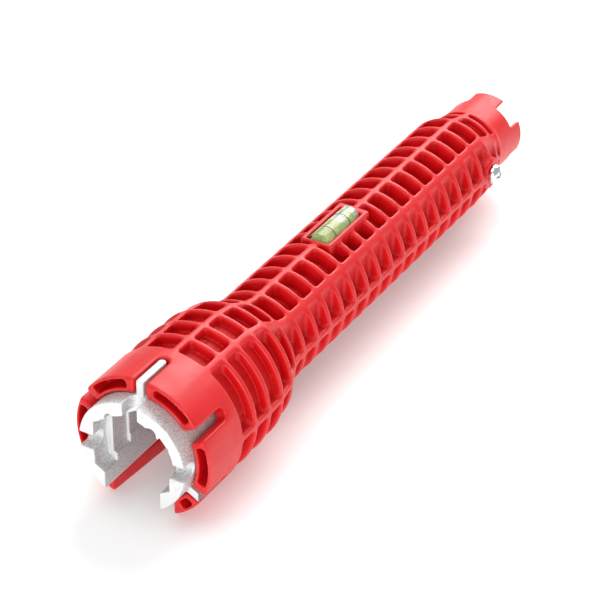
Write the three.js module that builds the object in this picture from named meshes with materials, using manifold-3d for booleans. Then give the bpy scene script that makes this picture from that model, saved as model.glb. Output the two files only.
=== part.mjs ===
// Two-ended wrench for sink and tap nuts, in millimetres.
// The long axis is X. Stations are counted from the front face of the big head (x = 0) towards the
// small notched end. Angles round the axis are counted from the top (+Z) towards -Y.
// The whole tool is finally moved so that the middle of its lowest level is the origin.
import * as THREE from 'three';
import { mergeVertices } from 'three/addons/utils/BufferGeometryUtils.js';
import Module from 'manifold-3d';

const wasm = await Module();
wasm.setup();

// ---- Driving dimensions -------------------------------------------------------------------------
const TOOL_LENGTH = 278.4;
const ROUND = 32;
const GAP = 0.3;

const HEAD_R = 29.5;
const HANDLE_R = 20.73;
const CROWN_R = 16.3;
const COLLAR_END = 23.7;

const RING_PITCH = 10;
const RING_FIRST = 32.65;
const RING_COUNT = 23;
const RING_WIDTH = 2.3;
const PLATE_Y = 14.0;
const PLATE_WIDTH = 2.9;

const SEAT_R = 23.4;
const SEAT_DEPTH = 31.3;
const HANDLE_BORE_R = 12.0;
const TAIL_BORE_R = 12.7;
const TAIL_BORE_START = 237.7;

const HOSE_HALF_FRONT = 13.4;
const HOSE_HALF_BACK = 10.5;
const HOSE_STRAIGHT = 60;
const HOSE_WALL = 2.4;

const SLOT_ANGLES = [0, 60, 120, -120, -60];
const SLOT_WIDTH = 5.0;
const SLOT_LENGTH = 17.4;
const FIN_ANGLES = [0, 120, -120];
const FIN_WIDTH = 3.2;
const FIN_LENGTH = 16.5;
const FIN_R = 29.3;

const FACE_POCKETS = [[13, 48], [71, 107], [130, 141]];
const FACE_POCKET_R = [24.8, 28.3];
const FACE_POCKET_DEPTH = 8;

const INSERT_R = 23.0;
const INSERT_FRONT = -7;
const INSERT_BACK = 31;
const HEX_LARGE = 32.8;
const HEX_LARGE_END = 1.5;
const HEX_MEDIUM = 27.6;
const HEX_MEDIUM_END = 10.5;
const THROUGH_WIDTH = 25.4;
const JAW_WIDTH = 24.3;
const RELIEF_R = 18.4;
const RELIEF_SECTOR = [44, 80];
const NOTCH_WIDTH = 6.4;
const NOTCH_DEPTH = 7;
const NOTCH_ANGLES = [0, 90, -90];
const SCALLOP_ANGLES = [33, -33];
const SCALLOP_R = 2.6;
const SCALLOP_CENTRE_R = 15.9;

const CROWN_NOTCH_WIDTH = 10.4;
const CROWN_NOTCH_DEPTH = 7.5;
const CROWN_NOTCH_ANGLES = [45, 135];

const VIAL_FRAME_X = [125.2, 157.0];
const VIAL_FRAME_WIDTH = 13.8;
const VIAL_FRAME_TOP = 21.3;
const VIAL_POCKET_X = [126.6, 153.8];
const VIAL_FLOOR = 1.3;
const VIAL_X = 140.2;
const VIAL_LENGTH = 26.4;
const VIAL_R = 4.7;
const VIAL_AXIS_Z = 18.8;
const VIAL_BORE_R = 3.8;
const VIAL_END_WALL = 1.6;
const VIAL_PLUG_LENGTH = 2.6;
const VIAL_LINES = [-5.7, 5.7];
const VIAL_LINE_WIDTH = 0.46;
const BUBBLE_X = 4.8;
const BUBBLE_LENGTH = 8;
const BUBBLE_DEPTH = 2.2;
const VIAL_ROUND = 20;

const SCREW_X = 242;
const SCREW_SEAT_Y = -20.5;
const SCREW_HEAD_R = 4.4;
const SCREW_HEAD_HEIGHT = 4.1;
const SCREW_SHANK_R = 2.3;
const SCREW_TIP_Y = -10.4;
const BOSS_R = 7;

const SOCKET_LENGTH = 30;
const SOCKET_HEX = 19;
const SOCKET_HEX_DEPTH = 16;
const SOCKET_KEY_WIDTH = 4;
const SOCKET_KEY_HEIGHT = 1.1;

// Outer radius of the rib tips along the tool, and the radius of the tube that the ribs stand on.
const RIB_TIPS = [
  [22, HEAD_R], [30, HEAD_R], [48, 29.25], [53, 28.85], [63, 26.95], [73, 22.2], [79, HANDLE_R],
  [241, HANDLE_R], [252.65, 17.4], [257, 16.8],
];
const CORE = [
  [22, 25.6], [50, 25.6], [63, 22.0], [73, 16.2], [79, 14.3], [234, 14.3], [237, 15.0], [258, 15.0],
];
const CROWN = [[256.4, 16.9], [260, CROWN_R], [TOOL_LENGTH, CROWN_R]];
const INNER = [
  [-1, SEAT_R], [SEAT_DEPTH, SEAT_R], [SEAT_DEPTH, 22.2], [48, 22.2], [74, HANDLE_BORE_R],
  [TAIL_BORE_START, HANDLE_BORE_R], [TAIL_BORE_START, TAIL_BORE_R], [TOOL_LENGTH + 1, TAIL_BORE_R],
];

// ---- Shape helpers ------------------------------------------------------------------------------
const rad = THREE.MathUtils.degToRad;

function solid(geometry) {
  const plain = geometry.index ? geometry : mergeVertices(geometry);
  plain.deleteAttribute('normal');
  plain.deleteAttribute('uv');
  const merged = mergeVertices(plain, 1e-4);
  const vertProperties = new Float32Array(merged.attributes.position.array);
  const triVerts = new Uint32Array(merged.index.array);
  return new wasm.Manifold(new wasm.Mesh({ numProp: 3, vertProperties, triVerts }));
}

function geometryOf(manifold) {
  const mesh = manifold.getMesh();
  const geometry = new THREE.BufferGeometry();
  geometry.setAttribute('position', new THREE.BufferAttribute(mesh.vertProperties, 3));
  geometry.setIndex(new THREE.BufferAttribute(mesh.triVerts, 1));
  geometry.computeVertexNormals();
  return geometry;
}

// A body of revolution about X from [station, radius] pairs, closed down to the axis.
function turned(profile, segments = ROUND) {
  const first = profile[0][0];
  const last = profile[profile.length - 1][0];
  const points = [new THREE.Vector2(0, first)];
  for (const [x, r] of profile) points.push(new THREE.Vector2(r, x));
  points.push(new THREE.Vector2(0, last));
  const geometry = new THREE.LatheGeometry(points, segments);
  geometry.rotateZ(-Math.PI / 2);
  return solid(geometry);
}

function rod(x0, x1, radius, segments = ROUND) {
  return turned([[x0, radius], [x1, radius]], segments);
}

function block(x, y, z) {
  const geometry = new THREE.BoxGeometry(x[1] - x[0], y[1] - y[0], z[1] - z[0]);
  geometry.translate((x[0] + x[1]) / 2, (y[0] + y[1]) / 2, (z[0] + z[1]) / 2);
  return solid(geometry);
}

// A shape drawn in the (Y, Z) plane, extruded along X.
function prismX(shape, x0, x1, curveSegments = 8) {
  const geometry = new THREE.ExtrudeGeometry(shape, { depth: x1 - x0, bevelEnabled: false, curveSegments });
  const turn = new THREE.Matrix4().makeBasis(
    new THREE.Vector3(0, 1, 0), new THREE.Vector3(0, 0, 1), new THREE.Vector3(1, 0, 0));
  geometry.applyMatrix4(turn);
  geometry.translate(x0, 0, 0);
  return solid(geometry);
}

// A shape drawn in the (X, Y) plane, extruded along Z.
function prismZ(shape, z0, z1, curveSegments = 8) {
  const geometry = new THREE.ExtrudeGeometry(shape, { depth: z1 - z0, bevelEnabled: false, curveSegments });
  geometry.translate(0, 0, z0);
  return solid(geometry);
}

// A tongue outline in the (X, Y) plane: straight from x0, with a round end at x1.
function tongue(x0, x1, width) {
  const half = width / 2;
  const shape = new THREE.Shape();
  shape.moveTo(x0, -half);
  shape.lineTo(x1 - half, -half);
  shape.absarc(x1 - half, 0, half, -Math.PI / 2, Math.PI / 2, false);
  shape.lineTo(x0, half);
  shape.closePath();
  return shape;
}

// Regular polygon with two of its flats facing +Y and -Y.
function polygon(sides, acrossFlats) {
  const corner = acrossFlats / 2 / Math.cos(Math.PI / sides);
  const shape = new THREE.Shape();
  for (let i = 0; i < sides; i += 1) {
    const a = rad((360 / sides) * (i + 0.5));
    if (i === 0) shape.moveTo(corner * Math.cos(a), corner * Math.sin(a));
    else shape.lineTo(corner * Math.cos(a), corner * Math.sin(a));
  }
  shape.closePath();
  return shape;
}

function joined(parts) {
  return parts.reduce((whole, next) => whole.add(next));
}

function aroundX(manifold, degrees) {
  return manifold.rotate([degrees, 0, 0]);
}

function part(name, manifold, colour, roughness, metalness) {
  const material = new THREE.MeshStandardMaterial({ color: colour, roughness, metalness });
  const mesh = new THREE.Mesh(geometryOf(manifold), material);
  mesh.name = name;
  return mesh;
}

// ---- Moulded body -------------------------------------------------------------------------------
function ringDiscs() {
  const discs = [];
  for (let k = 0; k < RING_COUNT; k += 1) {
    const x = RING_FIRST + RING_PITCH * k;
    discs.push(rod(x - RING_WIDTH / 2, x + RING_WIDTH / 2, HEAD_R + 1));
  }
  return discs;
}

// Lengthwise plates: three upright ones and the level one on the moulding line.
function lengthwisePlates() {
  const x = [COLLAR_END - 1, CROWN[0][0] + 0.5];
  const half = PLATE_WIDTH / 2;
  const upright = [-PLATE_Y, 0, PLATE_Y];
  const plates = upright.map((y) => block(x, [y - half, y + half], [-HEAD_R, HEAD_R]));
  plates.push(block(x, [-HEAD_R, HEAD_R], [-half, half]));
  return plates;
}

// The side opening narrows a little from the head's face to its round end in the handle.
function hoseCut(grow) {
  const front = HOSE_HALF_FRONT + grow;
  const back = HOSE_HALF_BACK + grow;
  const outline = new THREE.Shape();
  outline.moveTo(0, -front);
  outline.lineTo(HOSE_STRAIGHT, -back);
  outline.absarc(HOSE_STRAIGHT, 0, back, -Math.PI / 2, Math.PI / 2, false);
  outline.lineTo(0, front);
  outline.lineTo(-1, front);
  outline.lineTo(-1, -front);
  outline.closePath();
  return prismZ(outline, -HEAD_R - 2, 0, 16);
}

function hoseRim() {
  return hoseCut(HOSE_WALL).intersect(block([COLLAR_END - 1, 90], [-HEAD_R, HEAD_R], [-HEAD_R, -8]));
}

function facePocket(from, to) {
  const [inner, outer] = FACE_POCKET_R;
  const shape = new THREE.Shape();
  shape.absarc(0, 0, outer, rad(90 + from), rad(90 + to), false);
  shape.absarc(0, 0, inner, rad(90 + to), rad(90 + from), true);
  shape.closePath();
  return prismX(shape, -1, FACE_POCKET_DEPTH, 5);
}

function facePockets() {
  const cuts = [];
  for (const [from, to] of FACE_POCKETS) {
    cuts.push(facePocket(from, to));
    cuts.push(facePocket(-to, -from));
  }
  return cuts;
}

function finSlots() {
  const slot = prismZ(tongue(-1, SLOT_LENGTH, SLOT_WIDTH), SEAT_R - 3, HEAD_R + 2, 4);
  return SLOT_ANGLES.map((angle) => aroundX(slot, angle));
}

function crownNotches() {
  const half = CROWN_NOTCH_WIDTH / 2;
  const notch = block([TOOL_LENGTH - CROWN_NOTCH_DEPTH, TOOL_LENGTH + 1], [-half, half], [-20, 20]);
  return CROWN_NOTCH_ANGLES.map((angle) => aroundX(notch, angle));
}

function vialBlock() {
  const half = VIAL_FRAME_WIDTH / 2;
  const bottom = VIAL_AXIS_Z - VIAL_R - GAP - VIAL_FLOOR;
  return block(VIAL_FRAME_X, [-half, half], [bottom, VIAL_FRAME_TOP]);
}

function vialPocket() {
  const half = VIAL_R + GAP;
  return block(VIAL_POCKET_X, [-half, half], [VIAL_AXIS_Z - half, VIAL_FRAME_TOP + 1]);
}

// A round rod along Y through the screw's centre.
function screwRod(y0, y1, radius, segments = 16) {
  const geometry = new THREE.CylinderGeometry(radius, radius, y1 - y0, segments);
  geometry.translate(SCREW_X, (y0 + y1) / 2, 0);
  return solid(geometry);
}

function keyway(grow) {
  const half = SOCKET_KEY_WIDTH / 2 + grow;
  const x = [TAIL_BORE_START, grow > 0 ? TOOL_LENGTH + 1 : TAIL_BORE_START + SOCKET_LENGTH];
  return block(x, [-half, half], [TAIL_BORE_R - 2, TAIL_BORE_R - GAP + SOCKET_KEY_HEIGHT + grow]);
}

function body() {
  const ribs = joined([...ringDiscs(), ...lengthwisePlates(), hoseRim()]).intersect(turned(RIB_TIPS));
  const collar = turned([[0, HEAD_R - 0.8], [0.8, HEAD_R], [COLLAR_END, HEAD_R]]);
  const outer = joined([turned(CORE), ribs, collar, turned(CROWN), screwRod(SCREW_SEAT_Y, -10, BOSS_R)]);
  const inner = joined([turned(INNER), keyway(GAP)]);
  const shell = outer.subtract(inner).add(vialBlock());
  const cuts = [hoseCut(0), vialPocket(), screwRod(SCREW_SEAT_Y - 5, 0, SCREW_SHANK_R + GAP),
    ...finSlots(), ...facePockets(), ...crownNotches()];
  return part('body', shell.subtract(joined(cuts)), 0xd8242a, 0.42, 0);
}

// ---- Jaw insert in the big head -----------------------------------------------------------------
// Cuts across the front of the ring, each with a round floor.
function radialNotches() {
  const shape = tongue(INSERT_FRONT - 1, INSERT_FRONT + NOTCH_DEPTH, NOTCH_WIDTH);
  const notch = prismZ(shape, 10, INSERT_R + 2, 6);
  return NOTCH_ANGLES.map((angle) => aroundX(notch, angle));
}

// The ring wall is thinned on one side, between the top notch and the side notch.
function wallRelief() {
  const [from, to] = RELIEF_SECTOR;
  const shape = new THREE.Shape();
  shape.moveTo(0, 0);
  shape.absarc(0, 0, RELIEF_R, rad(90 + from), rad(90 + to), false);
  shape.closePath();
  return prismX(shape, INSERT_FRONT - 1, HEX_LARGE_END, 4);
}

function insertCavity() {
  const rounded = rod(INSERT_FRONT - 1, HEX_LARGE_END, HEX_LARGE / 2 + 0.5);
  const large = prismX(polygon(6, HEX_LARGE), INSERT_FRONT - 1, HEX_LARGE_END);
  const medium = prismX(polygon(6, HEX_MEDIUM), INSERT_FRONT, HEX_MEDIUM_END);
  const through = prismX(polygon(8, THROUGH_WIDTH), INSERT_FRONT, INSERT_BACK + 1);
  const half = JAW_WIDTH / 2;
  const side = block([INSERT_FRONT - 1, INSERT_BACK + 1], [-half, half], [-INSERT_R - 1, 0]);
  const scallop = rod(INSERT_FRONT - 1, HEX_LARGE_END, SCALLOP_R, 16).translate([0, 0, SCALLOP_CENTRE_R]);
  const scallops = SCALLOP_ANGLES.map((angle) => aroundX(scallop, angle));
  return joined([rounded, large, medium, through, side, wallRelief(), ...scallops]);
}

function jawInsert() {
  const fin = prismZ(tongue(0, FIN_LENGTH, FIN_WIDTH), INSERT_R - 2, FIN_R, 4);
  const fins = FIN_ANGLES.map((angle) => aroundX(fin, angle));
  const ring = rod(INSERT_FRONT, INSERT_BACK, INSERT_R);
  const shape = joined([ring, ...fins]).subtract(joined([insertCavity(), ...radialNotches()]));
  return part('jaw_insert', shape, 0xc9c9cc, 0.45, 1);
}

// ---- Socket inside the notched end, and its screw -----------------------------------------------
function tailSocket() {
  const start = TAIL_BORE_START + GAP;
  const end = start + SOCKET_LENGTH;
  const tube = rod(start, end, TAIL_BORE_R - GAP);
  const key = keyway(0).translate([GAP, 0, 0]);
  const hex = prismX(polygon(6, SOCKET_HEX), end - SOCKET_HEX_DEPTH, end + 1);
  const through = rod(start - 1, end + 1, SOCKET_HEX / 2 - 0.7);
  const thread = screwRod(-TAIL_BORE_R - 1, -5, SCREW_SHANK_R + GAP);
  const shape = joined([tube, key]).subtract(joined([hex, through, thread]));
  return part('tail_socket', shape, 0xb9babd, 0.45, 1);
}

function socketScrew() {
  const dome = [];
  const steps = 5;
  for (let i = 0; i <= steps; i += 1) {
    const a = (i / steps) * (Math.PI / 2);
    dome.push(new THREE.Vector2(SCREW_HEAD_R * Math.cos(a), 1.2 + (SCREW_HEAD_HEIGHT - 1.2) * Math.sin(a)));
  }
  dome[steps].x = 0;
  const seat = GAP;
  const points = [
    new THREE.Vector2(0, SCREW_SEAT_Y - SCREW_TIP_Y),
    new THREE.Vector2(SCREW_SHANK_R, SCREW_SEAT_Y - SCREW_TIP_Y),
    new THREE.Vector2(SCREW_SHANK_R, seat),
    new THREE.Vector2(SCREW_HEAD_R, seat),
    ...dome,
  ];
  const geometry = new THREE.LatheGeometry(points, 20);
  geometry.rotateZ(Math.PI);
  geometry.translate(SCREW_X, SCREW_SEAT_Y, 0);
  const recess = joined([
    block([SCREW_X - 2.4, SCREW_X + 2.4], [-30, SCREW_SEAT_Y - 2.2], [-0.45, 0.45]),
    block([SCREW_X - 0.45, SCREW_X + 0.45], [-30, SCREW_SEAT_Y - 2.2], [-2.4, 2.4]),
  ]);
  return part('socket_screw', solid(geometry).subtract(recess), 0xdadde0, 0.18, 1);
}

// ---- Level vial ---------------------------------------------------------------------------------
function vialPieces() {
  const x0 = -VIAL_LENGTH / 2;
  const x1 = VIAL_LENGTH / 2;
  const boreStart = x0 + VIAL_END_WALL;
  const boreEnd = x1 - VIAL_PLUG_LENGTH;
  const grooveFloor = VIAL_R - 0.3;
  const band = (x, width, grow) => rod(x - width / 2, x + width / 2, VIAL_R + grow, VIAL_ROUND)
    .subtract(rod(x - 1, x + 1, grooveFloor, VIAL_ROUND));
  const grooves = VIAL_LINES.map((x) => band(x, VIAL_LINE_WIDTH, 1));
  const lines = VIAL_LINES.map((x) => band(x, VIAL_LINE_WIDTH, 0));
  const tube = rod(x0, x1, VIAL_R, VIAL_ROUND)
    .subtract(rod(boreStart, x1 + 1, VIAL_BORE_R, VIAL_ROUND))
    .subtract(joined(grooves));
  const bubble = block(
    [BUBBLE_X - BUBBLE_LENGTH / 2, BUBBLE_X + BUBBLE_LENGTH / 2], [-5, 5], [VIAL_BORE_R - BUBBLE_DEPTH, 5]);
  const fluid = rod(boreStart, boreEnd, VIAL_BORE_R, VIAL_ROUND).subtract(bubble);
  const plug = rod(boreEnd, x1, VIAL_BORE_R, VIAL_ROUND);
  return [
    part('vial_tube', tube, 0xe9efe6, 0.1, 0),
    part('vial_fluid', fluid, 0xb8e04a, 0.1, 0),
    part('vial_end_plug', plug, 0xf2f3ee, 0.4, 0),
    part('index_ring_front', lines[0], 0x151515, 0.5, 0),
    part('index_ring_rear', lines[1], 0x151515, 0.5, 0),
  ];
}

// ---- Assembly -----------------------------------------------------------------------------------
const tool = new THREE.Group();
tool.add(body(), jawInsert(), tailSocket(), socketScrew());

const vial = new THREE.Group();
vial.position.set(VIAL_X, 0, VIAL_AXIS_Z);
vial.add(...vialPieces());
tool.add(vial);

const extent = new THREE.Box3().setFromObject(tool, true);
tool.position.set(-(extent.min.x + extent.max.x) / 2, 0, -extent.min.z);

const wrench = new THREE.Group();
wrench.add(tool);

export default wrench;
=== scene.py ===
"""Looks of a hollow two-ended sink wrench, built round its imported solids.

Shapes are signed-distance fields in tool coordinates: millimetres, x from the front face of the big
head towards the small notched end, y and z from the tool's axis. Angles round the axis are counted
from the top (+z) towards -y.
"""
import math

import bpy
import numpy as np
from mathutils import Matrix, Vector


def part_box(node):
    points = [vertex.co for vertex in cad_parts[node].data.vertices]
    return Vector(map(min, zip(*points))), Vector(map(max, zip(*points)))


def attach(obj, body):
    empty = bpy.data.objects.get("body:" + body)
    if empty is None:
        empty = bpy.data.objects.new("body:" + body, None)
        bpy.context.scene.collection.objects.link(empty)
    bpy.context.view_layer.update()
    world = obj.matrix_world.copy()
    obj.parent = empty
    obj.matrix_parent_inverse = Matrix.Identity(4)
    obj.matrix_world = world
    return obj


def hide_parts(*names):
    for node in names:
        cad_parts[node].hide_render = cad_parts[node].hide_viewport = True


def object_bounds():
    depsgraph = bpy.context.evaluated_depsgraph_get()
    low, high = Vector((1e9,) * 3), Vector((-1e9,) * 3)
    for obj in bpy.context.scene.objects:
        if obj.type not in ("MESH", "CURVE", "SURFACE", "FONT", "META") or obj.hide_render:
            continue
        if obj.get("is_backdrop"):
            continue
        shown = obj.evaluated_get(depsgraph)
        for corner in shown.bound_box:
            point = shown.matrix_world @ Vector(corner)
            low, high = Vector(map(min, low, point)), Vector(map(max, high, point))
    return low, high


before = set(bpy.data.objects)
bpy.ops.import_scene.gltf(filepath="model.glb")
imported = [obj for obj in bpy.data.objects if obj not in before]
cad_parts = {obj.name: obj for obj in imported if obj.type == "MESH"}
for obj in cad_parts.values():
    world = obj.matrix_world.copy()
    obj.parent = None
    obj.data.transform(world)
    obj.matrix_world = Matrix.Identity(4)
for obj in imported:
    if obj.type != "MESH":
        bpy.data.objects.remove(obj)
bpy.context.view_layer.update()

MM = 0.001
HEAD_R = 29.5
body_low, body_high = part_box("body")
ORIGIN = Vector((body_low.x, 0.0, body_high.z - HEAD_R * MM))

# ---- Driving dimensions, in millimetres ---------------------------------------------------------
TOOL_LENGTH = 278.4
COLLAR_END = 23.7
RING_PITCH = 10.0
RING_FIRST = 32.65
RING_LAST = 252.65
RING_HALF = 1.15
PLATE_Y = 14.0
PLATE_HALF = 1.45
DRAFT = 0.03

TIP_X = [0, 30, 48, 53, 63, 73, 79, 241, 252.65, 257, TOOL_LENGTH]
TIP_R = [29.5, 29.5, 29.25, 28.85, 26.95, 22.2, 20.73, 20.73, 17.4, 16.8, 16.8]
CORE_X = [0, 22, 50, 63, 73, 79, 234, 237, TOOL_LENGTH]
CORE_R = [25.6, 25.6, 25.6, 22.0, 16.2, 14.3, 14.3, 15.0, 15.0]
CROWN_START, RIBS_END = 256.4, 258.0
CROWN_X = [0, CROWN_START, 260, TOOL_LENGTH]
CROWN_R = [16.9, 16.9, 16.3, 16.3]

SEAT_R = 23.4
SEAT_DEPTH = 31.3
HANDLE_BORE_R = 12.0
THROAT_R = 22.2
BORE_X = [-1, SEAT_DEPTH, SEAT_DEPTH + 0.4, 48, 74, 281]
BORE_R = [SEAT_R, SEAT_R, THROAT_R, THROAT_R, HANDLE_BORE_R, HANDLE_BORE_R]
TAIL_BORE_R = 12.7
TAIL_BORE_START = 237.7

HOSE_X, HOSE_HALF = [0, 60], [13.4, 10.5]
HOSE_STRAIGHT = 60.0
HOSE_WALL, HOSE_RIM_TOP = 2.4, -8.0

SLOT_ANGLES = (0, 60, 120, -120, -60)
SLOT_WIDTH, SLOT_LENGTH = 5.0, 17.4
FIN_ANGLES = (0, 120, -120)
FIN_WIDTH, FIN_LENGTH, FIN_R = 3.2, 16.5, 29.3
FACE_POCKETS = ((13, 48), (71, 107), (130, 141))
FACE_POCKET_R = (24.8, 28.3)
FACE_POCKET_DEPTH = 8.0

INSERT_R, INSERT_FRONT, INSERT_BACK = 23.0, -7.0, 31.0
HEX_LARGE, HEX_LARGE_END = 32.8, 1.5
HEX_MEDIUM, HEX_MEDIUM_END = 27.6, 10.5
THROUGH_WIDTH, JAW_WIDTH = 25.4, 24.3
RELIEF_R, RELIEF_SECTOR = 18.4, (44, 80)
NOTCH_WIDTH, NOTCH_DEPTH = 6.4, 7.0
NOTCH_ANGLES = (0, 90, -90)
SCALLOP_ANGLES, SCALLOP_R, SCALLOP_CENTRE_R = (33, -33), 2.6, 15.9
EJECTOR_MARKS = ((18.5, -7.2), (13.7, 13.4), (-6.1, 18.6), (-14.1, 15.1), (-19.2, -5.6))
EJECTOR_R, EJECTOR_GROOVE = 1.8, 0.22

CROWN_NOTCH_HALF, CROWN_NOTCH_DEPTH = 5.2, 7.5

VIAL_FRAME_X = (125.2, 157.0)
VIAL_FRAME_HALF, VIAL_FRAME_TOP, VIAL_FRAME_BOTTOM = 6.9, 21.3, 12.5
VIAL_POCKET_X = (126.6, 153.8)
VIAL_X, VIAL_AXIS_Z, VIAL_LENGTH = 140.2, 18.8, 26.4
VIAL_R, VIAL_BORE_R = 4.7, 3.8
VIAL_END_WALL, VIAL_PLUG_LENGTH = 1.6, 2.6
VIAL_LINES, VIAL_LINE_HALF = (-5.7, 5.7), 0.23
VIAL_POCKET_GAP = 0.3
BUBBLE_X, BUBBLE_HALF, BUBBLE_DEPTH, BUBBLE_SIDE = 4.8, 4.0, 2.2, 3.3

SCREW_X, SCREW_SEAT_Y = 242.0, -20.5
SCREW_HEAD_R, SCREW_HEAD_HEIGHT, SCREW_SHANK_R, SCREW_TIP_Y = 4.4, 4.1, 2.3, -10.4
SCREW_ARM, SCREW_ARM_HALF, SCREW_RECESS_DEPTH = 2.5, 0.42, 2.0
SCREW_HOLE_GAP = 0.3
BOSS_R, BOSS_INNER_Y = 7.0, -10.0

SOCKET_START, SOCKET_END = 238.0, 268.0
SOCKET_R, SOCKET_HEX, SOCKET_HEX_DEPTH, SOCKET_THROUGH_R = 12.4, 19.0, 16.0, 8.8
KEY_HALF, KEY_Z = 2.0, (10.7, 13.5)
KEYWAY_HALF, KEYWAY_Z = 2.3, (10.7, 13.8)


# ---- Distance-field building blocks -------------------------------------------------------------
def smin(a, b, k):
    """Union with a fillet about k wide."""
    h = np.clip(0.5 + 0.5 * (b - a) / k, 0.0, 1.0)
    return b + (a - b) * h - k * h * (1.0 - h)


def smax(a, b, k):
    """Intersection with a rounded edge about k wide."""
    h = np.clip(0.5 - 0.5 * (b - a) / k, 0.0, 1.0)
    return b + (a - b) * h + k * h * (1.0 - h)


def cut(a, tool, k):
    return smax(a, -tool, k)


def along(x, stations, values):
    """Value at x of a line through (station, value) pairs, in the grid's precision."""
    return np.interp(x, stations, values).astype(np.float32)


def between(v, low, high):
    return np.abs(v - (low + high) / 2) - (high - low) / 2


def turn(y, z, degrees):
    """(sideways, outward) coordinates of the direction at that angle round the axis."""
    a = math.radians(degrees)
    return y * math.cos(a) + z * math.sin(a), z * math.cos(a) - y * math.sin(a)


def tongue(x, s, end, half):
    """Straight-sided channel along x with a round end."""
    over = np.maximum(x - (end - half), 0.0)
    return np.sqrt(over * over + s * s) - half


def flats(y, z, sides, across):
    """Regular prism along x with two of its flats facing +y and -y."""
    d = None
    for i in range(sides // 2):
        a = math.pi * 2 * i / sides
        face = np.abs(y * math.cos(a) + z * math.sin(a)) - across / 2
        d = face if d is None else np.maximum(d, face)
    return d


def rounded_plate(u, v, half_u, half_v, corner):
    """Rectangle with round corners in the (u, v) plane."""
    du = np.abs(u) - (half_u - corner)
    dv = np.abs(v) - (half_v - corner)
    outside = np.sqrt(np.maximum(du, 0) ** 2 + np.maximum(dv, 0) ** 2)
    return outside + np.minimum(np.maximum(du, dv), 0) - corner


# ---- Moulded body -------------------------------------------------------------------------------
def ribs_field(x, y, z, r):
    tip = along(x, TIP_X, TIP_R)
    depth = np.clip(tip - r, 0.0, 6.0) * DRAFT
    slope_cos = np.where((x > 62) & (x < 76), 0.9, 1.0).astype(np.float32)
    to_ring = np.abs(np.mod(x - RING_FIRST + RING_PITCH / 2, RING_PITCH) - RING_PITCH / 2)
    beyond = np.maximum(RING_FIRST - x, x - RING_LAST)
    to_ring = np.where(beyond > 0, beyond, to_ring)
    rings = to_ring - RING_HALF - depth
    plates = np.abs(np.abs(np.abs(y) - PLATE_Y / 2) - PLATE_Y / 2) - PLATE_HALF - depth
    level = np.abs(z) - PLATE_HALF - depth * 0.5
    ribs = smin(rings, smin(plates, level, 1.0), 2.0)
    over = np.maximum(x - HOSE_STRAIGHT, 0.0)
    hose = np.sqrt(over * over + y * y) - along(x, HOSE_X, HOSE_HALF)
    rim = np.maximum(hose - HOSE_WALL, z - HOSE_RIM_TOP)
    ribs = smin(ribs, rim, 1.2)
    return smax(ribs, (r - tip) * slope_cos, 1.1), hose


def slots_field(x, y, z):
    d = None
    for angle in SLOT_ANGLES:
        side, out = turn(y, z, angle)
        slot = np.maximum(tongue(x, side, SLOT_LENGTH, SLOT_WIDTH / 2), SEAT_R - 3 - out)
        d = slot if d is None else np.minimum(d, slot)
    return d


def face_pockets_field(x, r, theta):
    mid = sum(FACE_POCKET_R) / 2
    half_r = (FACE_POCKET_R[1] - FACE_POCKET_R[0]) / 2
    d = None
    for low, high in FACE_POCKETS:
        u = (np.abs(theta) - math.radians((low + high) / 2)) * mid
        half_u = math.radians(high - low) / 2 * mid
        pocket = rounded_plate(u, r - mid, half_u, half_r, 1.2)
        d = pocket if d is None else np.minimum(d, pocket)
    return smax(d, x - FACE_POCKET_DEPTH, 0.8)


def body_field(x, y, z):
    r = np.sqrt(y * y + z * z)
    ribs, hose = ribs_field(x, y, z, r)
    core = r - along(x, CORE_X, CORE_R)
    d = smin(core, ribs, 0.35)
    d = np.maximum(d, between(x, COLLAR_END - 1.5, RIBS_END))

    collar = smax(r - HEAD_R, between(x, 0.0, COLLAR_END), 1.6)
    d = smin(d, collar, 0.9)
    crown_length = between(x, CROWN_START, TOOL_LENGTH)
    crown = smax(r - along(x, CROWN_X, CROWN_R), crown_length, 0.9)
    d = smin(d, crown, 0.8)
    d = np.maximum(d, r - HEAD_R)

    across = np.sqrt((x - SCREW_X) ** 2 + z * z)
    boss = smax(across - BOSS_R, between(y, SCREW_SEAT_Y, BOSS_INNER_Y), 1.6)
    d = smin(d, boss, 1.6)

    tail_bore = smax(r - TAIL_BORE_R, TAIL_BORE_START - x, 0.3)
    bore = np.minimum(r - along(x, BORE_X, BORE_R), tail_bore)
    d = cut(d, bore, 0.9)

    block = smax(between(x, *VIAL_FRAME_X), np.abs(y) - VIAL_FRAME_HALF, 0.9)
    block = smax(block, between(z, VIAL_FRAME_BOTTOM, VIAL_FRAME_TOP), 1.0)
    d = smin(d, block, 1.2)
    pocket = smax(between(x, *VIAL_POCKET_X), np.abs(y) - (VIAL_R + VIAL_POCKET_GAP), 0.8)
    pocket = np.maximum(pocket, VIAL_AXIS_Z - VIAL_R - VIAL_POCKET_GAP - z)
    d = cut(d, pocket, 0.9)

    d = cut(d, smax(hose, z, 0.6), 0.9)
    d = cut(d, slots_field(x, y, z), 1.3)
    theta = np.arctan2(-y, z)
    d = cut(d, face_pockets_field(x, r, theta), 0.9)
    for sign in (1, -1):
        side = (y + sign * z) * math.sqrt(0.5)
        notch = smax(np.abs(side) - CROWN_NOTCH_HALF, TOOL_LENGTH - CROWN_NOTCH_DEPTH - x, 1.0)
        d = cut(d, notch, 0.9)
    hole = np.maximum(across - SCREW_SHANK_R - SCREW_HOLE_GAP, y)
    d = cut(d, hole, 0.4)
    keyway = np.maximum(np.abs(y) - KEYWAY_HALF, between(z, *KEYWAY_Z))
    return cut(d, np.maximum(keyway, TAIL_BORE_START - x), 0.4)


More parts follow.
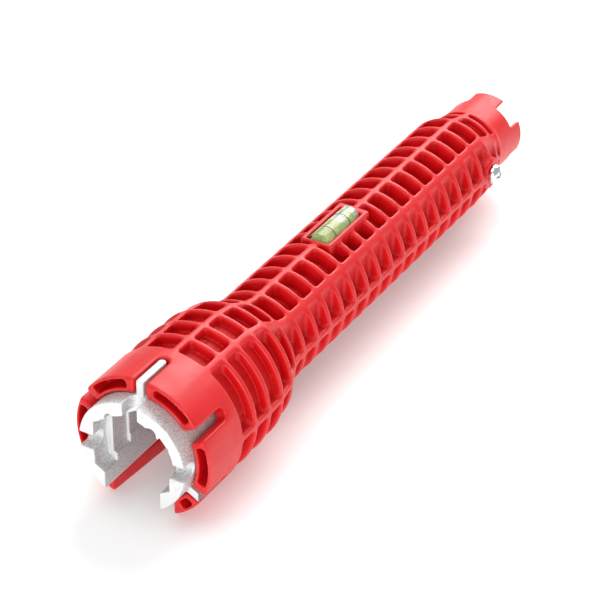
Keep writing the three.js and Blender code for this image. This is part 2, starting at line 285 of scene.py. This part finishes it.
# ---- Cast jaw insert ----------------------------------------------------------------------------
def insert_cavity(x, y, z, r):
    large = smin(r - (HEX_LARGE / 2 + 0.5), flats(y, z, 6, HEX_LARGE), 0.6)
    for angle in SCALLOP_ANGLES:
        side, out = turn(y, z, angle)
        large = np.minimum(large, np.sqrt(side * side + (out - SCALLOP_CENTRE_R) ** 2) - SCALLOP_R)
    theta = np.degrees(np.arctan2(-y, z))
    mid, half = sum(RELIEF_SECTOR) / 2, (RELIEF_SECTOR[1] - RELIEF_SECTOR[0]) / 2
    relief = np.maximum(r - RELIEF_R, (np.abs(theta - mid) - half) * math.radians(1) * RELIEF_R)
    large = np.minimum(large, relief)
    d = smax(large, x - HEX_LARGE_END, 0.5)
    medium = smax(flats(y, z, 6, HEX_MEDIUM), x - HEX_MEDIUM_END, 0.5)
    d = np.minimum(d, medium)
    d = np.minimum(d, flats(y, z, 8, THROUGH_WIDTH))
    return np.minimum(d, np.maximum(np.abs(y) - JAW_WIDTH / 2, z))


def insert_field(x, y, z):
    r = np.sqrt(y * y + z * z)
    d = smax(r - INSERT_R, between(x, INSERT_FRONT, INSERT_BACK), 0.6)
    for angle in FIN_ANGLES:
        side, out = turn(y, z, angle)
        height = between(out, INSERT_R - 3, FIN_R)
        fin = smax(tongue(x, side, FIN_LENGTH, FIN_WIDTH / 2), height, 0.7)
        d = smin(d, smax(fin, -x, 0.7), 0.8)
    d = cut(d, insert_cavity(x, y, z, r), 0.28)
    for angle in NOTCH_ANGLES:
        side, out = turn(y, z, angle)
        notch = tongue(x, side, INSERT_FRONT + NOTCH_DEPTH, NOTCH_WIDTH / 2)
        d = cut(d, np.maximum(notch, 10 - out), 0.35)
    for my, mz in EJECTOR_MARKS:
        off = np.sqrt((y - my) ** 2 + (z - mz) ** 2)
        ring = np.abs(off - EJECTOR_R) - EJECTOR_GROOVE
        groove = np.maximum(ring, x - (INSERT_FRONT + EJECTOR_GROOVE))
        d = cut(d, groove, 0.25)
    return d


# ---- Socket, screw and fluid --------------------------------------------------------------------
def socket_field(x, y, z):
    r = np.sqrt(y * y + z * z)
    length = between(x, SOCKET_START, SOCKET_END)
    d = smax(r - SOCKET_R, length, 0.8)
    key = smax(smax(np.abs(y) - KEY_HALF, between(z, *KEY_Z), 0.4), length, 0.4)
    d = smin(d, key, 0.4)
    hexagon = smax(flats(y, z, 6, SOCKET_HEX), SOCKET_END - SOCKET_HEX_DEPTH - x, 0.5)
    d = cut(d, np.minimum(hexagon, r - SOCKET_THROUGH_R), 0.9)
    across = np.sqrt((x - SCREW_X) ** 2 + z * z)
    return cut(d, np.maximum(across - SCREW_SHANK_R - SCREW_HOLE_GAP, y + 5.0), 0.4)


def screw_field(x, y, z):
    across = np.sqrt((x - SCREW_X) ** 2 + z * z)
    up = SCREW_SEAT_Y - 0.3 - y
    dome_h = SCREW_HEAD_HEIGHT - 1.2
    rise = np.maximum(up - 0.9, 0) / dome_h
    dome = (np.sqrt((across / SCREW_HEAD_R) ** 2 + rise ** 2) - 1) * dome_h
    head = smax(dome, -up, 0.4)
    shank = np.maximum(across - SCREW_SHANK_R, between(y, SCREW_SEAT_Y - 1.0, SCREW_TIP_Y))
    d = smin(head, shank, 0.3)
    floor_y = SCREW_SEAT_Y - SCREW_RECESS_DEPTH
    taper = np.clip((up - 1.6) * 0.10, 0.0, 0.4)
    arm_a = rounded_plate(x - SCREW_X, z, SCREW_ARM, SCREW_ARM_HALF, 0.2) - taper
    arm_b = rounded_plate(x - SCREW_X, z, SCREW_ARM_HALF, SCREW_ARM, 0.2) - taper
    recess = np.maximum(smin(arm_a, arm_b, 0.5), y - floor_y)
    return cut(d, recess, 0.3)


def fluid_field(x, y, z):
    """Fluid a little larger than the tube's bore, so that no film of air shows between them."""
    xl, zl = x - VIAL_X, z - VIAL_AXIS_Z
    r = np.sqrt(y * y + zl * zl)
    low, high = -VIAL_LENGTH / 2 + VIAL_END_WALL, VIAL_LENGTH / 2 - VIAL_PLUG_LENGTH
    d = smax(r - (VIAL_BORE_R + 0.05), between(xl, low - 0.05, high - 0.04), 0.3)
    ahead = (xl - BUBBLE_X) / BUBBLE_HALF
    up = (zl - VIAL_BORE_R) / BUBBLE_DEPTH
    bubble = (np.sqrt(ahead ** 2 + up ** 2 + (y / BUBBLE_SIDE) ** 2) - 1) * BUBBLE_DEPTH
    return cut(d, bubble, 0.3)


# ---- Meshes -------------------------------------------------------------------------------------
MOST_TRIANGLES = 190_000
CORNERS = [(i, j, k) for i in (0, 1) for j in (0, 1) for k in (0, 1)]
EDGES = [(a, b) for a in CORNERS for b in CORNERS if a < b and sum(q - p for p, q in zip(a, b)) == 1
         and all(q >= p for p, q in zip(a, b))]


def sample(field, low, high, step, slab=48):
    axes = [np.arange(a, b + step, step, dtype=np.float32) for a, b in zip(low, high)]
    values = np.empty([len(a) for a in axes], np.float32)
    y, z = axes[1][None, :, None], axes[2][None, None, :]
    for i in range(0, len(axes[0]), slab):
        values[i:i + slab] = field(axes[0][i:i + slab, None, None], y, z)
    return values, axes


def surface(field, low, high, step):
    """Dual surface mesh of the zero level: points in mm and outward quads."""
    values, axes = sample(field, low, high, step)
    inside = values < 0
    n = [s - 1 for s in values.shape]

    def corner(array, c):
        return array[c[0]:c[0] + n[0], c[1]:c[1] + n[1], c[2]:c[2] + n[2]]

    count = sum(corner(inside, c).astype(np.uint8) for c in CORNERS)
    cells = np.argwhere((count > 0) & (count < 8))
    number = np.full(n, -1, np.int32)
    number[tuple(cells.T)] = np.arange(len(cells))
    total = np.zeros((len(cells), 3))
    hits = np.zeros(len(cells))
    for a, b in EDGES:
        va = values[tuple((cells + a).T)]
        vb = values[tuple((cells + b).T)]
        crossing = (va < 0) != (vb < 0)
        t = np.where(crossing, va / np.where(crossing, va - vb, 1), 0)
        point = np.array(a) + t[:, None] * (np.array(b) - np.array(a))
        total += np.where(crossing[:, None], point, 0)
        hits += crossing
    points = np.array([a[0] for a in axes]) + step * (cells + total / hits[:, None])

    quads = []
    for axis in range(3):
        u, v = (axis + 1) % 3, (axis + 2) % 3
        ahead = [slice(None)] * 3
        behind = [slice(None)] * 3
        ahead[axis], behind[axis] = slice(1, None), slice(None, -1)
        change = inside[tuple(behind)] != inside[tuple(ahead)]
        edge = np.argwhere(change)
        edge = edge[(edge[:, u] > 0) & (edge[:, v] > 0) & (edge[:, u] < n[u]) & (edge[:, v] < n[v])]
        leaving = inside[tuple(edge.T)]
        ring = []
        for du, dv in ((-1, -1), (0, -1), (0, 0), (-1, 0)):
            cell = edge.copy()
            cell[:, u] += du
            cell[:, v] += dv
            ring.append(number[tuple(cell.T)])
        ring = np.stack(ring, 1)
        quads.append(np.where(leaving[:, None], ring, ring[:, ::-1]))
    return points, np.concatenate(quads)


def gradient(field, points, e=0.02):
    axis_steps = np.eye(3) * e
    ahead = [field(*(points + s).T) for s in axis_steps]
    behind = [field(*(points - s).T) for s in axis_steps]
    return np.stack([(a - b) / (2 * e) for a, b in zip(ahead, behind)], 1)


def refine(field, points, rounds=2):
    """Moves each point onto the zero level along the field's slope."""
    for _ in range(rounds):
        value = field(*points.T)
        slope = gradient(field, points)
        size = np.maximum((slope * slope).sum(1), 0.25)
        move = np.clip(value / size, -0.25, 0.25)
        points = points - slope * move[:, None]
    return points


def edge_measure(field, points, reach=0.7):
    """How convex the surface is at each point: 1 on a sharp edge, 0 in the flat, -1 in a corner."""
    offsets = np.vstack([np.eye(3), -np.eye(3)]) * reach
    mean = sum(field(*(points + o).T) for o in offsets) / 6 - field(*points.T)
    return np.clip(mean / (reach * 0.30), -1.0, 1.0)


def open_measure(field, points, reaches=(1.2, 2.6, 4.5)):
    """How open the space in front of a point is: 1 on a free face, near 0 deep in a pocket."""
    slope = gradient(field, points)
    normal = slope / np.maximum(np.linalg.norm(slope, axis=1, keepdims=True), 1e-6)
    space = sum(field(*(points + normal * reach).T) / reach for reach in reaches)
    return np.clip(space / len(reaches), 0.0, 1.0)


def thinned(mesh, most):
    """The same surface in at most that many triangles, with long ones where it is nearly flat."""
    count = sum(p.loop_total - 2 for p in mesh.polygons)
    if count <= most:
        return mesh
    holder = bpy.data.objects.new("thinning", mesh)
    bpy.context.scene.collection.objects.link(holder)
    holder.modifiers.new("thin", "DECIMATE").ratio = most / count
    evaluated = holder.evaluated_get(bpy.context.evaluated_depsgraph_get())
    lean = bpy.data.meshes.new_from_object(evaluated)
    bpy.data.objects.remove(holder)
    return lean


def field_piece(name, field, low, high, step, body, node, material, most=MOST_TRIANGLES):
    points, quads = surface(field, low, high, step)
    points = refine(field, points)
    dense = bpy.data.meshes.new(name)
    dense.vertices.add(len(points))
    dense.vertices.foreach_set("co", points.astype(np.float32).ravel())
    dense.loops.add(quads.size)
    dense.loops.foreach_set("vertex_index", quads.ravel().astype(np.int32))
    dense.polygons.add(len(quads))
    dense.polygons.foreach_set("loop_start", np.arange(0, quads.size, 4, dtype=np.int32))
    dense.update(calc_edges=True)
    dense.validate()
    mesh = thinned(dense, most)
    mesh.name = name
    points = np.empty(len(mesh.vertices) * 3, np.float32)
    mesh.vertices.foreach_get("co", points)
    points = refine(field, points.reshape(-1, 3).astype(float))
    # Convexity and openness are stored per point; the materials read them for wear and for painted
    # highlights and shade.
    for key, measure in (("edge_convexity", edge_measure), ("openness", open_measure)):
        layer = mesh.attributes.new(key, "FLOAT", "POINT")
        layer.data.foreach_set("value", measure(field, points).astype(np.float32))
    world = points * MM + np.array(ORIGIN)
    mesh.vertices.foreach_set("co", world.astype(np.float32).ravel())
    mesh.update()
    mesh.polygons.foreach_set("use_smooth", np.ones(len(mesh.polygons), bool))
    return placed(name, mesh, material, body, node)


def placed(name, mesh, material, body, node):
    piece = bpy.data.objects.new(name, mesh)
    bpy.context.scene.collection.objects.link(piece)
    mesh.materials.append(material)
    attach(piece, body)
    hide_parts(node)
    return piece


def turned_piece(name, profile, centre, body, node, material, closed=False, segments=96):
    """Body of revolution about x from (x, r) pairs in mm, from axis to axis or as a closed ring."""
    rows = list(profile) + ([profile[0]] if closed else [])
    verts, faces, ring_start = [], [], []
    for x, r in rows[:-1] if closed else rows:
        ring_start.append(len(verts))
        for i in range(segments if r > 1e-6 else 1):
            a = 2 * math.pi * i / segments
            verts.append((x, r * math.cos(a), r * math.sin(a)))
    if closed:
        ring_start.append(0)
    for k in range(len(rows) - 1):
        a0, b0 = ring_start[k], ring_start[k + 1]
        for i in range(segments):
            j = (i + 1) % segments
            if rows[k][1] < 1e-6:
                faces.append((a0, b0 + j, b0 + i))
            elif rows[k + 1][1] < 1e-6:
                faces.append((a0 + i, a0 + j, b0))
            else:
                faces.append((a0 + i, a0 + j, b0 + j, b0 + i))
    world = (np.array(verts) + np.array(centre)) * MM + np.array(ORIGIN)
    mesh = bpy.data.meshes.new(name)
    mesh.from_pydata([tuple(v) for v in world], [], faces)
    mesh.polygons.foreach_set("use_smooth", np.ones(len(faces), bool))
    mesh.set_sharp_from_angle(angle=math.radians(40))
    mesh.update()
    return placed(name, mesh, material, body, node)


# ---- Materials ----------------------------------------------------------------------------------
class Graph:
    """Short-hand for the node tree of one material, in object coordinates in millimetres."""

    def __init__(self, name, colour, roughness, metallic=0.0, **sockets):
        self.material = bpy.data.materials.new(name)
        self.material.use_nodes = True
        self.nodes = self.material.node_tree.nodes
        self.links = self.material.node_tree.links
        self.shader = self.nodes["Principled BSDF"]
        self.shader.inputs["Base Color"].default_value = (*colour, 1.0)
        self.shader.inputs["Roughness"].default_value = roughness
        self.shader.inputs["Metallic"].default_value = metallic
        for key, value in sockets.items():
            self.shader.inputs[key.replace("_", " ")].default_value = value
        coordinates = self.nodes.new("ShaderNodeTexCoord")
        self.place = self.nodes.new("ShaderNodeMapping")
        self.place.inputs["Scale"].default_value = (1000.0,) * 3
        self.links.new(coordinates.outputs["Object"], self.place.inputs["Vector"])

    def put(self, socket, value):
        if isinstance(value, bpy.types.NodeSocket):
            self.links.new(value, socket)
        else:
            socket.default_value = value

    def noise(self, size, detail=3.0, roughness=0.55, stretch=(1, 1, 1), offset=0.0):
        """Noise with features about size mm across."""
        mapping = self.nodes.new("ShaderNodeMapping")
        mapping.inputs["Scale"].default_value = stretch
        mapping.inputs["Location"].default_value = (offset, offset * 0.7, -offset)
        self.links.new(self.place.outputs[0], mapping.inputs["Vector"])
        node = self.nodes.new("ShaderNodeTexNoise")
        node.inputs["Scale"].default_value = 1.0 / size
        node.inputs["Detail"].default_value = detail
        node.inputs["Roughness"].default_value = roughness
        self.links.new(mapping.outputs[0], node.inputs["Vector"])
        return node.outputs["Fac"]

    def spots(self, size):
        node = self.nodes.new("ShaderNodeTexVoronoi")
        node.inputs["Scale"].default_value = 1.0 / size
        self.links.new(self.place.outputs[0], node.inputs["Vector"])
        return node.outputs["Distance"]

    def spread(self, value, low, high, to_low, to_high):
        node = self.nodes.new("ShaderNodeMapRange")
        self.put(node.inputs["Value"], value)
        keys = ("From Min", "From Max", "To Min", "To Max")
        for key, v in zip(keys, (low, high, to_low, to_high)):
            node.inputs[key].default_value = v
        return node.outputs[0]

    def maths(self, operation, a, b):
        node = self.nodes.new("ShaderNodeMath")
        node.operation = operation
        self.put(node.inputs[0], a)
        self.put(node.inputs[1], b)
        return node.outputs[0]

    def mix(self, factor, a, b):
        node = self.nodes.new("ShaderNodeMix")
        node.data_type = "RGBA"
        self.put(node.inputs[0], factor)
        for socket, value in ((node.inputs[6], a), (node.inputs[7], b)):
            self.put(socket, value if isinstance(value, bpy.types.NodeSocket) else (*value, 1.0))
        return node.outputs[2]

    def attribute(self, name):
        node = self.nodes.new("ShaderNodeAttribute")
        node.attribute_name = name
        return node.outputs["Fac"]

    def facing(self, direction):
        """1 where the surface faces that world direction, 0 where it faces away or sideways."""
        normal = self.nodes.new("ShaderNodeNewGeometry")
        node = self.nodes.new("ShaderNodeVectorMath")
        node.operation = "DOT_PRODUCT"
        node.inputs[1].default_value = direction
        self.links.new(normal.outputs["Normal"], node.inputs[0])
        return node.outputs["Value"]

    def bump(self, *layers):
        """Each layer is (height, strength, distance in mm)."""
        normal = None
        for height, strength, distance in layers:
            node = self.nodes.new("ShaderNodeBump")
            node.inputs["Strength"].default_value = strength
            node.inputs["Distance"].default_value = distance * MM
            self.links.new(height, node.inputs["Height"])
            if normal:
                self.links.new(normal, node.inputs["Normal"])
            normal = node.outputs["Normal"]
        self.links.new(normal, self.shader.inputs["Normal"])

    def set(self, socket, value):
        self.put(self.shader.inputs[socket], value)


def red_moulding():
    """Injection-moulded nylon: satin, with a faint texture and flow marks, convex edges lighter as
    partly rubbed wear and partly a painted highlight, and pockets darker as painted shade.
    """
    g = Graph("red_moulding", (0.68, 0.005, 0.009), 0.40, Specular_IOR_Level=0.5)
    cloud = g.noise(26, 3)
    base = g.mix(g.spread(cloud, 0.35, 0.65, 0, 1), (0.64, 0.004, 0.006), (0.71, 0.006, 0.010))
    speck = g.noise(0.9, 2, offset=7)
    base = g.mix(g.spread(speck, 0.56, 0.72, 0, 0.22), base, (0.50, 0.003, 0.005))
    # Convex edges and rib tops lighter: partly rubbed wear, partly a painted highlight standing in
    # for the sheen on the tips.
    rub_and_highlight = g.maths("MULTIPLY", g.spread(g.attribute("edge_convexity"), 0.25, 0.85, 0, 1),
                  g.spread(g.noise(5, 4, offset=3), 0.38, 0.66, 0.35, 0.90))
    base = g.mix(rub_and_highlight, base, (0.84, 0.080, 0.080))
    # Painted shade: the base darkens where the surface is enclosed, deep in pockets, slots and
    # corners; the same mask lowers the specular level there.
    deep = g.spread(g.attribute("openness"), 0.30, 0.90, 0.50, 0.0)
    base = g.mix(deep, base, (0.46, 0.001, 0.002))
    g.set("Base Color", base)
    g.set("Specular IOR Level", g.spread(deep, 0.0, 0.5, 0.5, 0.22))
    rough = g.spread(g.noise(8, 4, offset=11), 0.3, 0.7, 0.36, 0.50)
    g.set("Roughness", g.maths("SUBTRACT", rough, g.maths("MULTIPLY", rub_and_highlight, 0.08)))
    grain = g.noise(0.55, 3, offset=5)
    flow = g.noise(5.0, 2, stretch=(0.25, 1, 1), offset=9)
    g.bump((flow, 0.25, 0.10), (grain, 0.22, 0.05))
    return g.material


def cast_metal(name, colour, grain_depth=0.6):
    """Blasted casting: sugary grain on the walls; front faces and edges smoother, with edges
    lighter as partly rubbed wear and partly a painted highlight, faces towards -x painted lighter
    as a painted front light, and concave creases darkened as painted shade.
    """
    g = Graph(name, colour, 0.5, 0.55)
    dark = tuple(c * 0.54 for c in colour)
    light = tuple(min(c * 1.15, 0.86) for c in colour)
    # Painted light: faces pointing towards -x in the world are painted lighter, as if lit from the
    # front.
    front = g.spread(g.facing((-1, 0, 0)), 0.80, 0.97, 0, 1)
    grain = g.noise(0.55, 3, 0.75)
    cells = g.spots(0.9)
    speckle = g.spread(g.maths("ADD", grain, g.maths("MULTIPLY", cells, 0.22)), 0.46, 0.78, 0, 1)
    base = g.mix(speckle, dark, light)
    patches = g.spread(g.noise(9, 3, offset=4), 0.35, 0.65, 0, 0.30)
    base = g.mix(patches, base, tuple(c * 0.85 for c in colour))
    # Convex edges lighter: partly rubbed wear, partly a painted highlight.
    rub_and_highlight = g.spread(g.attribute("edge_convexity"), 0.3, 0.9, 0, 0.6)
    # The base is lightened by the edge mask and by the painted front light; the same mask makes
    # these places smoother.
    rub_and_front_light = g.maths("MAXIMUM", rub_and_highlight, g.maths("MULTIPLY", front, 0.92))
    base = g.mix(rub_and_front_light, base, light)
    # Painted shade: concave creases are darkened towards a third of the base colour.
    painted_crease_shade = g.spread(g.attribute("edge_convexity"), -0.90, -0.35, 0.50, 0.0)
    g.set("Base Color", g.mix(painted_crease_shade, base, tuple(c * 0.35 for c in colour)))
    rough = g.spread(grain, 0.3, 0.7, 0.45, 0.65)
    g.set("Roughness", g.maths("SUBTRACT", rough, g.maths("MULTIPLY", rub_and_front_light, 0.08)))
    keep = g.spread(rub_and_front_light, 0, 1, 1, 0.15)
    waves = g.noise(3.0, 3, offset=6)
    g.bump((waves, 0.2, 0.10), (g.maths("MULTIPLY", grain, keep), grain_depth, 0.20))
    return g.material


def plated_steel():
    g = Graph("plated_steel", (0.80, 0.81, 0.82), 0.16, 1.0)
    g.set("Roughness", g.spread(g.noise(1.5, 3), 0.3, 0.7, 0.12, 0.28))
    g.set("Base Color", g.mix(g.noise(2.5, 3, offset=2), (0.74, 0.75, 0.76), (0.86, 0.87, 0.88)))
    g.bump((g.noise(0.5, 2), 0.08, 0.02),)
    return g.material


def clear_acrylic():
    g = Graph("clear_acrylic", (0.96, 0.98, 0.95), 0.05, Transmission_Weight=1.0, IOR=1.40)
    g.set("Roughness", g.spread(g.noise(4, 3), 0.35, 0.7, 0.03, 0.12))
    g.bump((g.noise(6, 2, stretch=(0.4, 1, 1)), 0.05, 0.05),)
    return g.material


def level_fluid():
    g = Graph("level_fluid", (0.64, 0.75, 0.32), 0.25, Transmission_Weight=0.30, IOR=1.34)
    base = g.mix(g.spread(g.noise(6, 2), 0.40, 0.60, 0, 1), (0.54, 0.74, 0.30), (0.74, 0.77, 0.34))
    # Painted reflection: the walls of the bubble, where the openness is low, are painted near-white
    # in place of the light off the air's surface.
    bubble = g.spread(g.attribute("openness"), 0.55, 0.92, 0.85, 0.0)
    base = g.mix(bubble, base, (0.90, 0.92, 0.84))
    g.set("Base Color", base)
    # Painted light: the fluid glows faintly in its own colour, though it is no lamp.
    g.set("Emission Color", base)
    g.set("Emission Strength", 0.12)
    g.set("Roughness", g.spread(g.noise(5, 2, offset=2), 0.35, 0.65, 0.20, 0.32))
    return g.material


def acrylic_plug():
    g = Graph("acrylic_plug", (0.88, 0.90, 0.84), 0.25, Transmission_Weight=0.25, IOR=1.45)
    g.set("Roughness", g.spread(g.noise(2, 3), 0.3, 0.7, 0.20, 0.38))
    g.set("Base Color", g.mix(g.noise(3, 2, offset=5), (0.84, 0.87, 0.80), (0.93, 0.94, 0.90)))
    g.bump((g.noise(1.5, 2), 0.1, 0.03),)
    return g.material


def black_ink():
    g = Graph("black_ink", (0.02, 0.02, 0.022), 0.4)
    g.set("Roughness", g.spread(g.noise(0.6, 2), 0.3, 0.7, 0.32, 0.55))
    tone = g.noise(0.8, 2, offset=3)
    g.set("Base Color", g.mix(tone, (0.025, 0.025, 0.028), (0.06, 0.06, 0.065)))
    return g.material


# ---- Pieces -------------------------------------------------------------------------------------
BODY_STEP = 0.6
field_piece("moulded_body", body_field, (-1.5, -30.9, -30.9), (281.5, 30.9, 30.9), BODY_STEP,
            "body", "body", red_moulding())
field_piece("stepped_jaw_insert", insert_field, (-8, -24.5, -24.5), (32, 24.5, 30.3), 0.35,
            "jaw_insert", "jaw_insert",
            cast_metal("cast_jaw_metal", (0.84, 0.835, 0.84)))
field_piece("hexagon_socket", socket_field, (237, -13.4, -13.4), (269, 13.4, 14.5), 0.35,
            "body", "tail_socket",
            cast_metal("socket_metal", (0.62, 0.62, 0.63), 0.40))
field_piece("pan_head_screw", screw_field, (236.5, -25.4, -5.2), (247.5, -9.8, 5.2), 0.16,
            "body", "socket_screw", plated_steel())
field_piece("vial_liquid", fluid_field, (127.2, -4.6, 14.2), (153.2, 4.6, 23.4), 0.22,
            "body", "vial_fluid", level_fluid())

VIAL_CENTRE = (VIAL_X, 0.0, VIAL_AXIS_Z)
half = VIAL_LENGTH / 2
tube_outline = [(-half, 0.0), (-half, VIAL_R - 0.5),
                (-half + 0.15, VIAL_R - 0.15), (-half + 0.5, VIAL_R)]
for line in VIAL_LINES:
    low, high, groove_r = line - VIAL_LINE_HALF, line + VIAL_LINE_HALF, VIAL_R - 0.25
    tube_outline += [(low, VIAL_R), (low, groove_r), (high, groove_r), (high, VIAL_R)]
tube_outline += [(half - 0.5, VIAL_R), (half - 0.15, VIAL_R - 0.15), (half, VIAL_R - 0.5),
                 (half, VIAL_BORE_R), (-half + VIAL_END_WALL, VIAL_BORE_R),
                 (-half + VIAL_END_WALL, 0.0)]
turned_piece("vial_shell", tube_outline, VIAL_CENTRE, "body", "vial_tube",
             clear_acrylic())
plug_r = VIAL_BORE_R - 0.03
plug_start = half - VIAL_PLUG_LENGTH
plug_outline = [(plug_start, 0.0), (plug_start, plug_r), (half - 0.2, plug_r),
                (half, plug_r - 0.2), (half, 1.2), (half - 0.4, 0.8), (half - 0.4, 0.0)]
turned_piece("vial_stopper", plug_outline, VIAL_CENTRE, "body", "vial_end_plug",
             acrylic_plug())
ink = black_ink()
for name, node, line in (("level_line_front", "index_ring_front", VIAL_LINES[0]),
                         ("level_line_rear", "index_ring_rear", VIAL_LINES[1])):
    low, high = line - VIAL_LINE_HALF + 0.02, line + VIAL_LINE_HALF - 0.02
    outline = [(low, VIAL_R - 0.23), (low, VIAL_R), (high, VIAL_R), (high, VIAL_R - 0.23)]
    turned_piece(name, outline, VIAL_CENTRE, "body", node, ink, closed=True)


# ---- Floor, light and camera --------------------------------------------------------------------
def floor():
    mesh = bpy.data.meshes.new("floor")
    size = 4.0
    corners = [(-size, -size, 0), (size, -size, 0), (size, size, 0), (-size, size, 0)]
    mesh.from_pydata(corners, [], [(0, 1, 2, 3)])
    plane = bpy.data.objects.new("floor", mesh)
    bpy.context.scene.collection.objects.link(plane)
    plane.location.z = min(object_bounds()[0].z, 0.0) - 0.0002
    g = Graph("pale_floor", (0.90, 0.90, 0.90), 0.7)
    g.set("Roughness", g.spread(g.noise(60, 3), 0.3, 0.7, 0.62, 0.78))
    g.set("Emission Color", (1.0, 1.0, 1.0, 1.0))
    g.set("Emission Strength", 0.18)
    mesh.materials.append(g.material)
    plane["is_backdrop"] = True


def area_light(name, place, target, size, power, colour=(1, 1, 1)):
    data = bpy.data.lights.new(name, "AREA")
    data.shape = "DISK"
    data.size = size
    data.energy = power
    data.color = colour
    light = bpy.data.objects.new(name, data)
    light.location = place
    light.rotation_euler = (Vector(target) - Vector(place)).to_track_quat("-Z", "Y").to_euler()
    bpy.context.scene.collection.objects.link(light)


def studio():
    world = bpy.data.worlds.new("studio")
    world.use_nodes = True
    background = world.node_tree.nodes["Background"]
    background.inputs["Color"].default_value = (1.0, 1.0, 1.0, 1.0)
    background.inputs["Strength"].default_value = 0.50
    bpy.context.scene.world = world
    bpy.context.scene.view_settings.view_transform = "Standard"
    area_light("sheen", (0.86, 0.12, 0.80), (0, 0, 0.03), 1.1, 15)
    area_light("front", (-1.30, -0.55, 0.34), (-0.10, 0, 0.03), 0.8, 9)
    area_light("overhead", (-0.30, 0.35, 1.25), (-0.05, 0, 0.03), 1.1, 5)


def camera():
    place = ORIGIN + Vector((-0.59786, -0.41974, 0.54734))
    forward = Vector((0.71803, 0.42363, -0.55224)).normalized()
    level = forward.cross(Vector((0, 0, 1))).normalized()
    roll = math.radians(0.328)
    right = level * math.cos(roll) + level.cross(forward) * math.sin(roll)
    up = right.cross(forward)
    data = bpy.data.cameras.new("camera")
    data.sensor_width = 36.0
    data.lens = 149.04
    data.clip_start, data.clip_end = 0.01, 50.0
    view = bpy.data.objects.new("camera", data)
    turn_to_view = Matrix((right, up, -forward)).transposed().to_4x4()
    view.matrix_world = Matrix.Translation(place) @ turn_to_view
    bpy.context.scene.collection.objects.link(view)
    bpy.context.scene.camera = view


floor()
studio()
camera()
